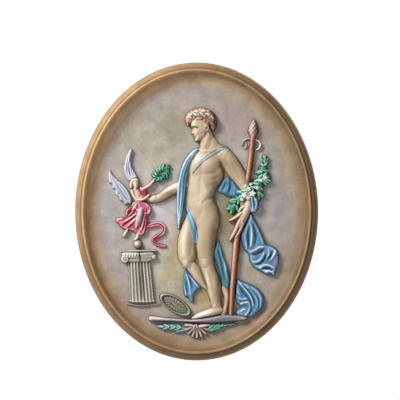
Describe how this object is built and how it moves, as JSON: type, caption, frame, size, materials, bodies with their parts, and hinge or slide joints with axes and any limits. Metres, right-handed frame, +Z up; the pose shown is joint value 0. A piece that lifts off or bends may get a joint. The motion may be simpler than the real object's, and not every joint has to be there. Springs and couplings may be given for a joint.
{
  "type": "relief plaque",
  "caption": "Oval wall plaque with a moulded rim and a classical relief: a draped youth with a staff, a small winged figure on a fluted pillar, a shell below; hanging pocket behind.",
  "frame": {"origin": "centre of the oval back face, on the wall", "axes": "+Z up, +Y into the wall, -Y out of the wall towards the viewer, +X to the viewer's right"},
  "size_m": [0.243, 0.0222, 0.298],
  "materials": {
    "painted_marble": "resin-bonded marble casting, hand painted in thin colours with a satin clear coat"
  },
  "bodies": {
    "root": {"relief_plaque": "painted_marble"}
  },
  "joints": []
}
